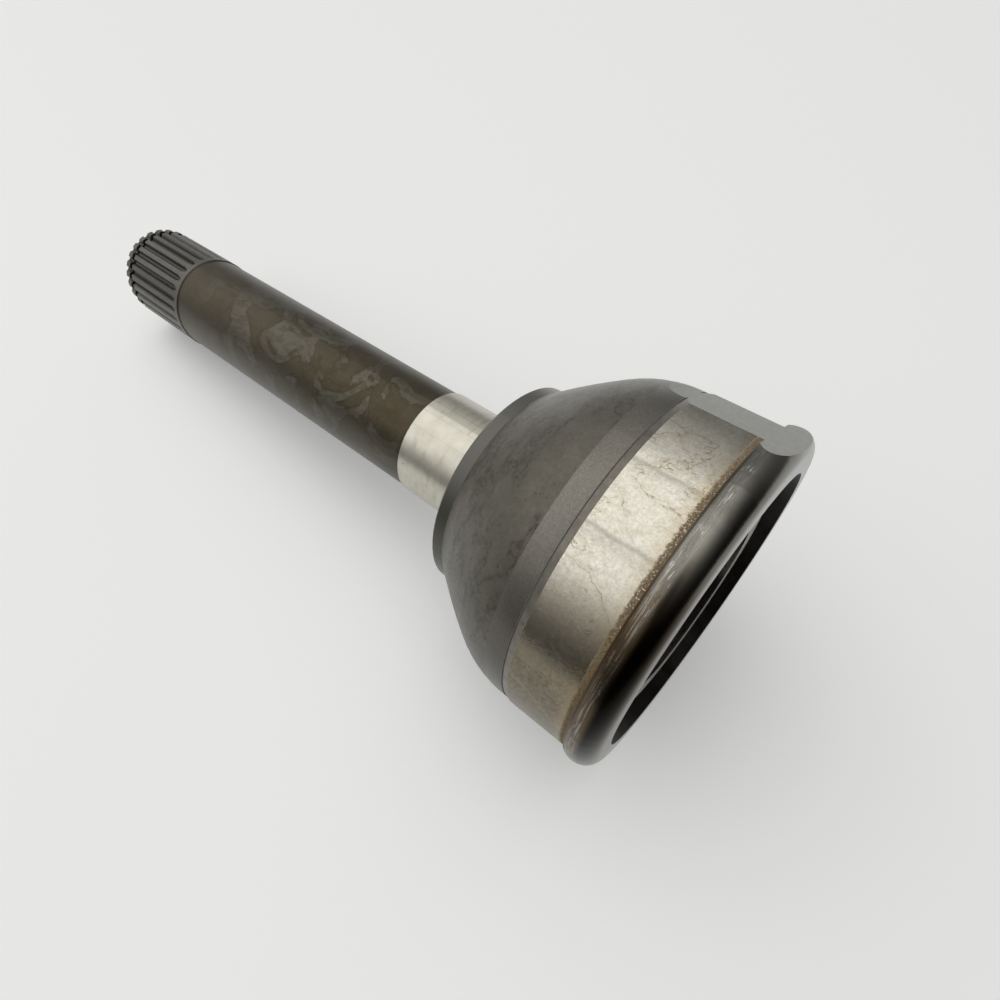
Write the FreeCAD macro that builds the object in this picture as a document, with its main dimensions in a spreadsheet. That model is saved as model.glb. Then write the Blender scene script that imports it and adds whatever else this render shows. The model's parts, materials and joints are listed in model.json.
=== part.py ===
"""Fixed ball joint with an integral stub axle, lying on its bead and its splined end.

Every piece is drawn about the joint centre: X runs along the stub axle towards the open
mouth, Z is up.  The finished pieces share one lying position, given to each as its Placement.
"""
import FreeCAD, Part
import math
import os
import Sketcher

DIMENSIONS = [
    # outside of the bell
    ("mouth_distance", 26.0, "joint centre to the mouth plane"),
    ("bell_wall", 8.6, "balls to the outside of the ground band"),
    ("bead_step", 2.0, "ground band up to the top of the rim bead"),
    ("bead_round", 6.5, "section radius of the bead"),
    ("bead_width", 10.0, "mouth plane to the shoulder beside the ground band"),
    ("band_width", 21.5, "ground band"),
    ("relief_width", 2.5, "sloping relief behind the band"),
    ("relief_depth", 0.75, "deep end of the relief, below the band"),
    ("dome_round", 40.0, "section radius of the dome's shoulder"),
    ("dome_drop", 0.5, "top of the dome below the band"),
    ("dome_crest", 9.4, "joint centre back to the crest of the dome"),
    ("dome_shoulder", 19.7, "crest of the dome back to its flank"),
    ("flank_round", 200.0, "section radius of the dome's flank"),
    ("collar_r", 39.2, "locating collar behind the dome"),
    ("collar_chamfer", 0.8, "edge of the collar"),
    ("flat_depth", 2.95, "top of the bead down to each milled flat"),
    ("flat_angle", 58.0, "first flat, turned from +Y towards +Z"),
    ("flat_half_width", 34.0, "half width of the milling cut"),
    # stub axle
    ("journal_r", 21.2, "ground journal"),
    ("journal_length", 35.5, "collar face to the end of the journal"),
    ("journal_fillet", 2.5, "corner between the journal and the collar"),
    ("journal_chamfer", 0.4, "outer edge of the journal"),
    ("shaft_relief", 0.6, "journal down to the plain shaft"),
    ("stub_length", 287.5, "joint centre back to the end face"),
    ("spline_teeth", 27.0, "outer spline"),
    ("spline_tooth", 1.53, "outer spline, size of a tooth: pitch diameter over teeth"),
    ("spline_rise", 0.345, "outer spline, tip above the pitch circle"),
    ("spline_depth", 1.6, "outer spline, tip to root"),
    ("spline_flank", 30.0, "outer spline, flank angle"),
    ("spline_length", 41.5, "end face to the end of the full depth"),
    ("spline_cutter_r", 4.5, "radius of the cutter's run-out"),
    ("spline_shoulder", 5.5, "full depth to the step down to the shaft"),
    ("clip_groove_place", 5.5, "end face to the middle of the clip groove"),
    ("clip_groove_width", 2.2, "clip groove"),
    ("clip_groove_depth", 2.1, "clip groove, below the tooth tips"),
    ("end_chamfer", 1.5, "edge of the end face"),
    ("puller_r", 3.4, "tapping hole for the puller screw"),
    ("puller_depth", 24.0, "end face to the end of the full bore"),
    ("puller_sink", 1.8, "countersink of the puller hole"),
    # inside of the bell
    ("rim_face", 4.7, "flat ring of the mouth plane"),
    ("mouth_cone_step", 2.2, "mouth cone, narrowing on the radius"),
    ("mouth_cone_depth", 7.0, "mouth plane to the end of the cone"),
    ("shoulder_depth", 13.5, "mouth plane to the start of the spherical seat"),
    ("recess_r", 27.0, "bottom recess of the bell"),
    ("recess_length", 12.0, "spherical seat to the bottom of the recess"),
    ("recess_round", 3.0, "corner at the bottom of the recess"),
    ("bell_floor", 9.1, "bottom of the recess to the collar face"),
    # balls, tracks, cage and inner race
    ("ball_d", 22.225, "ball"),
    ("pitch_r", 39.3, "ball centres from the axis"),
    ("track_offset", 4.5, "track centres either side of the joint centre"),
    ("track_clearance", 0.12, "ball to track bottom"),
    ("window_clearance", 0.36, "ball to each face of its window"),
    ("seat_clearance", 0.06, "spherical seats, on the radius"),
    ("race_drop", 2.1, "ball centres down to the outer sphere of the inner race"),
    ("race_half_width", 13.0, "inner race"),
    ("race_chamfer", 1.2, "edges of the inner race"),
    ("bore_teeth", 30.0, "inner spline"),
    ("bore_tooth", 1.1, "inner spline, size of a tooth: pitch diameter over teeth"),
    ("bore_depth", 1.3, "inner spline, tip to root"),
    ("bore_flank", 30.0, "inner spline, flank angle"),
    ("bore_chamfer", 1.8, "lead-in of the splined bore"),
    ("cage_wall", 6.6, "cage"),
    ("cage_front", 22.3, "joint centre to the front face of the cage"),
    ("cage_rear", 20.0, "joint centre back to the rear face of the cage"),
    ("cage_chamfer", 0.6, "outer edges of the cage"),
    ("window_play", 4.6, "ball to window, both ends, around the cage"),
    ("assembly_window_play", 7.2, "the same in the two windows that pass the race lobes"),
    ("window_corner_r", 3.0, "corners of the windows"),
    ("balls", 6.0, "balls and tracks"),
]

DERIVED = [
    # from the balls outwards: inner race, cage, seat, bell
    ("track_circle_r", "sqrt(pow(Dimensions.pitch_r; 2) + pow(Dimensions.track_offset; 2))"),
    ("track_section_r", "Dimensions.ball_d / 2 + Dimensions.track_clearance"),
    ("race_r", "Dimensions.pitch_r - Dimensions.race_drop"),
    ("cage_inner_r", "race_r + Dimensions.seat_clearance"),
    ("cage_outer_r", "cage_inner_r + Dimensions.cage_wall"),
    ("seat_r", "cage_outer_r + Dimensions.seat_clearance"),
    ("window_width", "Dimensions.ball_d + 2 * Dimensions.window_clearance"),
    ("window_length", "Dimensions.ball_d + Dimensions.window_play"),
    ("assembly_window_length", "Dimensions.ball_d + Dimensions.assembly_window_play"),
    ("ball_spacing", "360deg / Dimensions.balls"),
    ("track_turn", "ball_spacing * (Dimensions.balls / 2 - 1)"),
    ("window_turn", "ball_spacing * (Dimensions.balls / 2 - 2)"),
    ("band_r", "Dimensions.pitch_r + Dimensions.ball_d / 2 + Dimensions.bell_wall"),
    ("bead_r", "band_r + Dimensions.bead_step"),
    ("flat_distance", "bead_r - Dimensions.flat_depth"),
    ("seat_rear", "sqrt(pow(seat_r; 2) - pow(Dimensions.recess_r; 2))"),
    ("recess_depth", "seat_rear + Dimensions.recess_length"),
    ("collar_rear", "recess_depth + Dimensions.bell_floor"),
    # stations along the bell
    ("bead_centre_x", "Dimensions.mouth_distance - Dimensions.bead_round"),
    ("bead_centre_r", "bead_r - Dimensions.bead_round"),
    ("mouth_bore_r", "bead_centre_r - Dimensions.rim_face"),
    ("mouth_cone_r", "mouth_bore_r - Dimensions.mouth_cone_step"),
    ("seat_front_x", "Dimensions.mouth_distance - Dimensions.shoulder_depth"),
    ("band_front_x", "Dimensions.mouth_distance - Dimensions.bead_width"),
    ("band_rear_x", "band_front_x - Dimensions.band_width"),
    ("relief_rear_x", "band_rear_x - Dimensions.relief_width"),
    ("bead_shoulder_r", "bead_centre_r + sqrt(pow(Dimensions.bead_round; 2)"
                        " - pow(band_front_x - bead_centre_x; 2))"),
    ("dome_centre_r", "band_r - Dimensions.dome_drop - Dimensions.dome_round"),
    ("dome_start_r", "dome_centre_r + sqrt(pow(Dimensions.dome_round; 2)"
                     " - pow(relief_rear_x + Dimensions.dome_crest; 2))"),
    ("flank_x", "-Dimensions.dome_crest - Dimensions.dome_shoulder"),
    ("flank_r", "dome_centre_r + sqrt(pow(Dimensions.dome_round; 2)"
                " - pow(Dimensions.dome_shoulder; 2))"),
    ("flank_share", "Dimensions.flank_round / Dimensions.dome_round"),
    ("flank_centre_x", "flank_x + Dimensions.dome_shoulder * flank_share"),
    ("flank_centre_r", "flank_r - (flank_r - dome_centre_r) * flank_share"),
    ("collar_front_x", "flank_centre_x - sqrt(pow(Dimensions.flank_round; 2)"
                       " - pow(Dimensions.collar_r - flank_centre_r; 2))"),
    # stations along the stub axle
    ("journal_end_x", "-collar_rear - Dimensions.journal_length"),
    ("shaft_r", "Dimensions.journal_r - Dimensions.shaft_relief"),
    ("spline_pitch_r", "Dimensions.spline_teeth * Dimensions.spline_tooth / 2"),
    ("spline_tip_r", "spline_pitch_r + Dimensions.spline_rise"),
    ("spline_root_r", "spline_tip_r - Dimensions.spline_depth"),
    ("spline_full_x", "Dimensions.spline_length - Dimensions.stub_length"),
    ("spline_step_x", "spline_full_x + Dimensions.spline_shoulder"),
    ("clip_groove_x", "Dimensions.clip_groove_place - Dimensions.stub_length"),
    # splined bore of the inner race
    ("bore_pitch_r", "Dimensions.bore_teeth * Dimensions.bore_tooth / 2"),
    ("bore_tip_r", "bore_pitch_r - Dimensions.bore_tooth / 2"),
    ("bore_root_r", "bore_tip_r + Dimensions.bore_depth"),
    # the line from the spline's end to the bead, and the height of the joint centre over it
    ("rest_run", "bead_centre_x + Dimensions.stub_length - Dimensions.end_chamfer"),
    ("rest_rise", "bead_centre_r - spline_tip_r"),
    ("lie_angle", "atan(rest_rise / rest_run)"
                  " + asin(Dimensions.bead_round / sqrt(pow(rest_run; 2) + pow(rest_rise; 2)))"),
    ("centre_z", "bead_centre_r * cos(lie_angle) + Dimensions.bead_round"
                 " - bead_centre_x * sin(lie_angle)"),
    ("reach_front", "bead_centre_x * cos(lie_angle) + bead_centre_r * sin(lie_angle)"
                    " + Dimensions.bead_round"),
    ("reach_back", "max((Dimensions.stub_length - Dimensions.end_chamfer) * cos(lie_angle)"
                   " + spline_tip_r * sin(lie_angle); Dimensions.stub_length * cos(lie_angle)"
                   " + (spline_tip_r - Dimensions.end_chamfer) * sin(lie_angle))"),
    ("centre_x", "(reach_back - reach_front) / 2"),
]

PARTS_FOLDER = "parts"


def fill_sheets(doc):
    """Write the driving dimensions and the sizes worked out from them."""
    sheet = doc.addObject("Spreadsheet::Sheet", "Dimensions")
    for row, (alias, value, note) in enumerate(DIMENSIONS, start=1):
        sheet.set("A%d" % row, alias)
        sheet.set("B%d" % row, str(value))
        sheet.set("C%d" % row, note)
        sheet.setAlias("B%d" % row, alias)
    doc.recompute()
    derived = doc.addObject("Spreadsheet::Sheet", "Derived")
    for row, (alias, formula) in enumerate(DERIVED, start=1):
        derived.set("A%d" % row, alias)
        derived.set("B%d" % row, "=" + formula)
        derived.setAlias("B%d" % row, alias)
    doc.recompute()
    return sheet, derived


def origin_feature(body, role):
    """Return one of a body's own origin planes or axes."""
    for feature in body.Origin.OriginFeatures:
        if feature.Role == role:
            return feature
    raise ValueError(role)


def new_sketch(body, name, plane="XZ_Plane"):
    sketch = body.newObject("Sketcher::SketchObject", name)
    sketch.AttachmentSupport = [(origin_feature(body, plane), "")]
    sketch.MapMode = "FlatFace"
    return sketch


def pin_point(sketch, geometry, position, x_formula, y_formula):
    """Hold one end of a line or arc at a place given by two formulas."""
    for kind, formula in (("DistanceX", x_formula), ("DistanceY", y_formula)):
        value = float(sketch.evalExpression(formula))
        index = sketch.addConstraint(Sketcher.Constraint(kind, -1, 1, geometry, position, value))
        sketch.setExpression("Constraints[%d]" % index, formula)


def draw_outline(sketch, corners):
    """Draw a closed outline through the corners.

    A corner is (x, y) or (x, y, radius, side).  With a radius, the edge that leaves the corner
    is an arc whose centre lies to the left (+1) or right (-1) of the way to the next corner.
    """
    ends = []
    for number, corner in enumerate(corners):
        following = corners[(number + 1) % len(corners)]
        start = FreeCAD.Vector(*[float(sketch.evalExpression(text)) for text in corner[:2]], 0)
        stop = FreeCAD.Vector(*[float(sketch.evalExpression(text)) for text in following[:2]], 0)
        if len(corner) == 2:
            edge = sketch.addGeometry(Part.LineSegment(start, stop), False)
            ends.append((edge, 1, 2))
            continue
        radius_formula, side = corner[2:]
        radius = float(sketch.evalExpression(radius_formula))
        chord = stop - start
        height = math.sqrt(max(radius ** 2 - (chord.Length / 2) ** 2, 0.0))
        normal = FreeCAD.Vector(-chord.y, chord.x, 0).normalize() * side
        centre = start + chord / 2 + normal * height
        first, last = (start, stop) if side > 0 else (stop, start)
        angles = [math.atan2(end.y - centre.y, end.x - centre.x) for end in (first, last)]
        circle = Part.Circle(centre, FreeCAD.Vector(0, 0, 1), radius)
        edge = sketch.addGeometry(Part.ArcOfCircle(circle, *angles), False)
        index = sketch.addConstraint(Sketcher.Constraint("Radius", edge, radius))
        sketch.setExpression("Constraints[%d]" % index, radius_formula)
        ends.append((edge, 1, 2) if side > 0 else (edge, 2, 1))
    for number, (edge, start, _) in enumerate(ends):
        before, _, stop = ends[number - 1]
        sketch.addConstraint(Sketcher.Constraint("Coincident", before, stop, edge, start))
        pin_point(sketch, edge, start, *corners[number][:2])


def turn_solid(body, sketch, name, cut=False, axis="X_Axis"):
    """Revolve a half section about the body's axis, as a solid or as a cut."""
    kind = "PartDesign::Groove" if cut else "PartDesign::Revolution"
    feature = body.newObject(kind, name)
    feature.Profile = sketch
    feature.ReferenceAxis = (origin_feature(body, axis), [""])
    feature.Angle = 360.0
    body.Document.recompute()
    return feature


def polar_pattern(body, originals, name, count, angle="360deg"):
    """Repeat features about the X axis.  The count and the angle they span are formulas."""
    pattern = body.newObject("PartDesign::PolarPattern", name)
    pattern.Originals = originals
    pattern.Axis = (origin_feature(body, "X_Axis"), [""])
    pattern.setExpression("Angle", angle)
    pattern.setExpression("Occurrences", count)
    body.Tip = pattern
    body.Document.recompute()
    return pattern


def cut_ball_tracks(body, centre_formula):
    """Cut the tracks: each ring is a pair of opposite ones, in one plane through the axis."""
    ring = body.newObject("PartDesign::SubtractiveTorus", body.Name + "_track_pair")
    ring.setExpression("Radius1", "Derived.track_circle_r")
    ring.setExpression("Radius2", "Derived.track_section_r")
    ring.setExpression("Placement.Base.x", centre_formula)
    body.Tip = ring
    body.Document.recompute()
    polar_pattern(body, [ring], body.Name + "_tracks", "Dimensions.balls / 2",
                  "Derived.track_turn")


def tooth_space(body, name, plane_x, tip_r, root_r, pitch_r, teeth, flank, overrun):
    """Sketch the space between two spline teeth, square to the axis at plane_x.

    The space is centred on the sketch's vertical axis.  It passes the tips by the overrun,
    which is negative for an internal spline.
    """
    sketch = new_sketch(body, name, "YZ_Plane")
    sketch.setExpression("AttachmentOffset.Base.z", plane_x)
    outer_r = "(%s + %s)" % (tip_r, overrun)
    half_space = "%s * tan(90deg / %s)" % (pitch_r, teeth)
    slope = "tan(%s * 1deg)" % flank
    if float(body.Document.getObject("Derived").evalExpression(overrun)) > 0:
        root_half = "(%s - (%s - %s) * %s)" % (half_space, pitch_r, root_r, slope)
        tip_half = "(%s + (%s - %s) * %s)" % (half_space, outer_r, pitch_r, slope)
    else:
        root_half = "(%s - (%s - %s) * %s)" % (half_space, root_r, pitch_r, slope)
        tip_half = "(%s + (%s - %s) * %s)" % (half_space, pitch_r, outer_r, slope)
    draw_outline(sketch, [
        ("-" + root_half, root_r),
        ("-" + tip_half, outer_r),
        (tip_half, outer_r),
        (root_half, root_r),
    ])
    body.Document.recompute()
    return sketch


def make_outer_race(doc):
    """The forging: bell, collar, journal, shaft and outer spline in one piece."""
    body = doc.addObject("PartDesign::Body", "outer_race_with_stub_axle")
    outside = new_sketch(body, "outside")
    draw_outline(outside, [
        ("-Dimensions.stub_length", "0"),
        ("-Dimensions.stub_length", "Derived.spline_tip_r - Dimensions.end_chamfer"),
        ("Dimensions.end_chamfer - Dimensions.stub_length", "Derived.spline_tip_r"),
        ("Derived.clip_groove_x - Dimensions.clip_groove_width / 2", "Derived.spline_tip_r"),
        ("Derived.clip_groove_x - Dimensions.clip_groove_width / 2",
         "Derived.spline_tip_r - Dimensions.clip_groove_depth"),
        ("Derived.clip_groove_x + Dimensions.clip_groove_width / 2",
         "Derived.spline_tip_r - Dimensions.clip_groove_depth"),
        ("Derived.clip_groove_x + Dimensions.clip_groove_width / 2", "Derived.spline_tip_r"),
        ("Derived.spline_step_x", "Derived.spline_tip_r"),
        ("Derived.spline_step_x + abs(Derived.spline_tip_r - Derived.shaft_r)", "Derived.shaft_r"),
        ("Derived.journal_end_x", "Derived.shaft_r"),
        ("Derived.journal_end_x", "Dimensions.journal_r - Dimensions.journal_chamfer"),
        ("Derived.journal_end_x + Dimensions.journal_chamfer", "Dimensions.journal_r"),
        ("-Derived.collar_rear - Dimensions.journal_fillet", "Dimensions.journal_r",
         "Dimensions.journal_fillet", 1),
        ("-Derived.collar_rear", "Dimensions.journal_r + Dimensions.journal_fillet"),
        ("-Derived.collar_rear", "Dimensions.collar_r - Dimensions.collar_chamfer"),
        ("Dimensions.collar_chamfer - Derived.collar_rear", "Dimensions.collar_r"),
        ("Derived.collar_front_x", "Dimensions.collar_r", "Dimensions.flank_round", -1),
        ("Derived.flank_x", "Derived.flank_r", "Dimensions.dome_round", -1),
        ("Derived.relief_rear_x", "Derived.dome_start_r"),
        ("Derived.relief_rear_x", "Derived.band_r - Dimensions.relief_depth"),
        ("Derived.band_rear_x", "Derived.band_r"),
        ("Derived.band_front_x", "Derived.band_r"),
        ("Derived.band_front_x", "Derived.bead_shoulder_r", "Dimensions.bead_round", -1),
        ("Dimensions.mouth_distance", "Derived.bead_centre_r"),
        ("Dimensions.mouth_distance", "0"),
    ])
    turn_solid(body, outside, "forging")

    cavity = new_sketch(body, "cavity")
    draw_outline(cavity, [
        ("Dimensions.mouth_distance", "0"),
        ("Dimensions.mouth_distance", "Derived.mouth_bore_r"),
        ("Dimensions.mouth_distance - Dimensions.mouth_cone_depth", "Derived.mouth_cone_r"),
        ("Derived.seat_front_x", "sqrt(pow(Derived.seat_r; 2) - pow(Derived.seat_front_x; 2))",
         "Derived.seat_r", 1),
        ("-Derived.seat_rear", "Dimensions.recess_r"),
        ("Dimensions.recess_round - Derived.recess_depth", "Dimensions.recess_r",
         "Dimensions.recess_round", 1),
        ("-Derived.recess_depth", "Dimensions.recess_r - Dimensions.recess_round"),
        ("-Derived.recess_depth", "0"),
    ])
    turn_solid(body, cavity, "bell_cavity", cut=True)
    cut_ball_tracks(body, "Dimensions.track_offset")

    flat = body.newObject("PartDesign::SubtractiveBox", "milled_flat")
    flat.setExpression("Length", "Dimensions.bead_width + Dimensions.band_width + Dimensions.dome_round")
    flat.setExpression("Width", "2 * Dimensions.flat_half_width")
    flat.setExpression("Height", "Dimensions.flat_depth + 1")
    turn = "(Dimensions.flat_angle - 90) * 1deg"
    flat.setExpression("Placement.Rotation.Axis.x", "1")
    flat.setExpression("Placement.Rotation.Axis.y", "0")
    flat.setExpression("Placement.Rotation.Axis.z", "0")
    flat.setExpression("Placement.Rotation.Angle", turn)
    flat.setExpression("Placement.Base.x", "Dimensions.mouth_distance + 1 - Length / 1mm")
    flat.setExpression("Placement.Base.y", "-Dimensions.flat_half_width * cos(%s)"
                                           " - Derived.flat_distance * sin(%s)" % (turn, turn))
    flat.setExpression("Placement.Base.z", "-Dimensions.flat_half_width * sin(%s)"
                                           " + Derived.flat_distance * cos(%s)" % (turn, turn))
    body.Tip = flat
    doc.recompute()
    polar_pattern(body, [flat], "opposite_flats", "2")

    puller = new_sketch(body, "puller_hole")
    draw_outline(puller, [
        ("-Dimensions.stub_length", "0"),
        ("-Dimensions.stub_length", "Dimensions.puller_r + Dimensions.puller_sink"),
        ("Dimensions.puller_sink - Dimensions.stub_length", "Dimensions.puller_r"),
        ("Dimensions.puller_depth - Dimensions.stub_length", "Dimensions.puller_r"),
        ("Dimensions.puller_depth + Dimensions.puller_r / 2 - Dimensions.stub_length", "0"),
    ])
    turn_solid(body, puller, "puller_bore", cut=True)

    space = tooth_space(body, "spline_space", "Derived.spline_full_x", "Derived.spline_tip_r",
                        "Derived.spline_root_r", "Derived.spline_pitch_r",
                        "Dimensions.spline_teeth", "Dimensions.spline_flank",
                        "Dimensions.spline_tooth / 2")
    cutter_axis = space.addGeometry(Part.LineSegment(FreeCAD.Vector(-5, 50, 0),
                                                     FreeCAD.Vector(5, 50, 0)), True)
    for end, x_formula in ((1, "-Dimensions.spline_tooth"), (2, "Dimensions.spline_tooth")):
        pin_point(space, cutter_axis, end, x_formula,
                  "Derived.spline_root_r + Dimensions.spline_cutter_r")
    slot = body.newObject("PartDesign::Pocket", "spline_slot")
    slot.Profile = space
    slot.setExpression("Length", "Dimensions.spline_length + 1")
    doc.recompute()
    run_out = body.newObject("PartDesign::Groove", "spline_run_out")
    run_out.Profile = space
    run_out.ReferenceAxis = (space, ["Axis0"])
    run_out.Reversed = True
    run_out.setExpression("Angle", "acos(1 - (Dimensions.spline_depth + Dimensions.spline_tooth"
                                   " / 2) / Dimensions.spline_cutter_r)")
    doc.recompute()
    polar_pattern(body, [slot, run_out], "outer_spline", "Dimensions.spline_teeth")
    return body


def make_inner_race(doc):
    """The star: an outer sphere, six tracks and a splined bore for the axle shaft."""
    body = doc.addObject("PartDesign::Body", "inner_race")
    section = new_sketch(body, "race_section")
    half = "Dimensions.race_half_width"
    face_r = "(sqrt(pow(Derived.race_r; 2) - pow(%s; 2)) - Dimensions.race_chamfer)" % half
    edge_x = "(%s - Dimensions.race_chamfer / 2)" % half
    edge_r = "sqrt(pow(Derived.race_r; 2) - pow(%s; 2))" % edge_x
    draw_outline(section, [
        ("-" + half, "Derived.bore_tip_r + Dimensions.bore_chamfer"),
        ("-" + half, face_r),
        ("-" + edge_x, edge_r, "Derived.race_r", -1),
        (edge_x, edge_r),
        (half, face_r),
        (half, "Derived.bore_tip_r + Dimensions.bore_chamfer"),
        (half + " - Dimensions.bore_chamfer", "Derived.bore_tip_r"),
        ("Dimensions.bore_chamfer - " + half, "Derived.bore_tip_r"),
    ])
    turn_solid(body, section, "race_blank")
    cut_ball_tracks(body, "-Dimensions.track_offset")
    space = tooth_space(body, "bore_space", half, "Derived.bore_tip_r", "Derived.bore_root_r",
                        "Derived.bore_pitch_r", "Dimensions.bore_teeth",
                        "Dimensions.bore_flank", "-Dimensions.bore_tooth / 2")
    slot = body.newObject("PartDesign::Pocket", "bore_slot")
    slot.Profile = space
    slot.setExpression("Length", "2 * %s" % half)
    doc.recompute()
    polar_pattern(body, [slot], "bore_spline", "Dimensions.bore_teeth")
    return body


def cut_windows(body, name, length_formula, turn_formula):
    """Cut one opposite pair of windows, square to the cage, turned about X from the Y axis."""
    sketch = new_sketch(body, name + "_outline", "XZ_Plane")
    sketch.setExpression("AttachmentOffset.Rotation.Axis.x", "1")
    sketch.setExpression("AttachmentOffset.Rotation.Axis.y", "0")
    sketch.setExpression("AttachmentOffset.Rotation.Axis.z", "0")
    sketch.setExpression("AttachmentOffset.Rotation.Angle", turn_formula)
    half_width = "Derived.window_width / 2"
    half_length = "%s / 2" % length_formula
    corner = "Dimensions.window_corner_r"
    inner_x = "(%s - %s)" % (half_width, corner)
    inner_y = "(%s - %s)" % (half_length, corner)
    draw_outline(sketch, [
        ("-" + inner_x, "-" + half_length),
        (inner_x, "-" + half_length, corner, 1),
        (half_width, "-" + inner_y),
        (half_width, inner_y, corner, 1),
        (inner_x, half_length),
        ("-" + inner_x, half_length, corner, 1),
        ("-" + half_width, inner_y),
        ("-" + half_width, "-" + inner_y, corner, 1),
    ])
    cut = body.newObject("PartDesign::Pocket", name)
    cut.Profile = sketch
    cut.SideType = "Symmetric"
    cut.setExpression("Length", "2 * Derived.cage_outer_r + 2")
    body.Tip = cut
    body.Document.recompute()
    return cut


def make_cage(doc):
    """The ball cage: a spherical ring with four windows and two longer ones for assembly."""
    body = doc.addObject("PartDesign::Body", "ball_cage")
    section = new_sketch(body, "cage_section")
    front = "Dimensions.cage_front"
    rear = "Dimensions.cage_rear"
    chamfer = "Dimensions.cage_chamfer"
    outer = "sqrt(pow(Derived.cage_outer_r; 2) - pow(%s; 2))"
    inner = "sqrt(pow(Derived.cage_inner_r; 2) - pow(%s; 2))"
    draw_outline(section, [
        ("-" + rear, inner % rear),
        ("-" + rear, outer % rear + " - " + chamfer),
        ("%s - %s" % (chamfer, rear), outer % ("(%s - %s)" % (rear, chamfer)),
         "Derived.cage_outer_r", -1),
        ("%s - %s" % (front, chamfer), outer % ("(%s - %s)" % (front, chamfer))),
        (front, outer % front + " - " + chamfer),
        (front, inner % front, "Derived.cage_inner_r", 1),
    ])
    turn_solid(body, section, "cage_ring")
    cut_windows(body, "assembly_windows", "Derived.assembly_window_length", "0deg")
    pair = cut_windows(body, "ball_windows", "Derived.window_length", "Derived.ball_spacing")
    polar_pattern(body, [pair], "ball_window_pairs", "Dimensions.balls / 2 - 1",
                  "Derived.window_turn")
    return body


def make_balls(doc):
    """The loose balls, each its own piece."""
    balls = []
    count = int(doc.getObject("Dimensions").get("balls"))
    for number in range(count):
        ball = doc.addObject("Part::Sphere", "ball_%d" % (number + 1))
        ball.setExpression("Radius", "Dimensions.ball_d / 2")
        balls.append(ball)
    return balls


def lay_down(pieces, balls):
    """Lay the joint on its bead and spline end, and put each ball in its track."""
    for piece in pieces + balls:
        piece.setExpression("Placement.Rotation.Axis.x", "0")
        piece.setExpression("Placement.Rotation.Axis.y", "1")
        piece.setExpression("Placement.Rotation.Axis.z", "0")
        piece.setExpression("Placement.Rotation.Angle", "-Derived.lie_angle")
        piece.setExpression("Placement.Base.x", "Derived.centre_x")
        piece.setExpression("Placement.Base.z", "Derived.centre_z")
    for number, ball in enumerate(balls):
        angle = "(90deg + %d * Derived.ball_spacing)" % (number - 1)
        height = "Dimensions.pitch_r * cos(%s)" % angle
        ball.setExpression("Placement.Base.y", "Dimensions.pitch_r * sin(%s)" % angle)
        ball.setExpression("Placement.Base.x",
                           "Derived.centre_x - %s * sin(Derived.lie_angle)" % height)
        ball.setExpression("Placement.Base.z",
                           "Derived.centre_z + %s * cos(Derived.lie_angle)" % height)


def export(doc, pieces):
    """Check every object and write each piece to its own STEP file."""
    doc.recompute()
    for item in doc.Objects:
        if "Invalid" in item.State or "Error" in item.State:
            raise RuntimeError("%s failed: %s" % (item.Label, item.State))
    os.makedirs(PARTS_FOLDER, exist_ok=True)
    for piece in pieces:
        shape = piece.Shape
        if shape.isNull() or not shape.isValid() or len(shape.Solids) != 1:
            raise RuntimeError("%s has no valid single solid" % piece.Label)
        shape.exportStep(os.path.join(PARTS_FOLDER, piece.Label + ".step"))
        print("%-26s %10.1f mm3" % (piece.Label, shape.Volume))


def main():
    doc = FreeCAD.newDocument("fixed_ball_joint")
    fill_sheets(doc)
    pieces = [make_outer_race(doc), make_inner_race(doc), make_cage(doc)]
    balls = make_balls(doc)
    lay_down(pieces, balls)
    export(doc, pieces + balls)


main()
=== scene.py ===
"""Looks of a fixed ball joint with an integral stub axle, laid on a pale bench.

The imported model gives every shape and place.  This script dresses each forged, ground and
turned surface with a procedural finish and sets the bench, the light and the camera.
"""

import json
import logging
import math
from dataclasses import dataclass, field
from enum import Enum
from typing import Optional, Sequence, Union

import bpy
from mathutils import Matrix, Vector

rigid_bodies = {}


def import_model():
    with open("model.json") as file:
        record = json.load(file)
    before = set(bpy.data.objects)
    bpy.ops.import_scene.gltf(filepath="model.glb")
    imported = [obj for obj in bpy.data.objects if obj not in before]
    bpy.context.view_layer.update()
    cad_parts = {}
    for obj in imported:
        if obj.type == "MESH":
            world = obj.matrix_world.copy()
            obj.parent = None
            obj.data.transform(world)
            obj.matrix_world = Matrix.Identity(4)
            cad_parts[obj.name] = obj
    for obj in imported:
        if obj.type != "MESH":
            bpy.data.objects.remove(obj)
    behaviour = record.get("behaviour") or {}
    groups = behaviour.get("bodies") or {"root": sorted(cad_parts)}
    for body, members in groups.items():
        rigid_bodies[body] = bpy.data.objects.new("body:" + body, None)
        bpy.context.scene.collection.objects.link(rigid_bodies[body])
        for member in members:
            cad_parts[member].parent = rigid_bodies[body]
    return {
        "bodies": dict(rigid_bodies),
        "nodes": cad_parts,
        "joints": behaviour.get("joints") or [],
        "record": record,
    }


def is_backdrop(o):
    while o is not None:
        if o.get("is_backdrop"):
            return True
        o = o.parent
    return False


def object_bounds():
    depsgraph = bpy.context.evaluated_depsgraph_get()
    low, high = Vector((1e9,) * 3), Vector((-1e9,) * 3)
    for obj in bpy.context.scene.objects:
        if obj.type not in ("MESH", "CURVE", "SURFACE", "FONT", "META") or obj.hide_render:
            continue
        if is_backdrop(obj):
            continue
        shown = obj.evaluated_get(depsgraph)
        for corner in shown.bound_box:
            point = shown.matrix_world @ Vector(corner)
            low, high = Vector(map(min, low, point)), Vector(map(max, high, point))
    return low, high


LOG = logging.getLogger("ball_joint")
MM = 0.001
FILM_ROUGH = 0.32
SENSOR_WIDTH = 36.0

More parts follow.
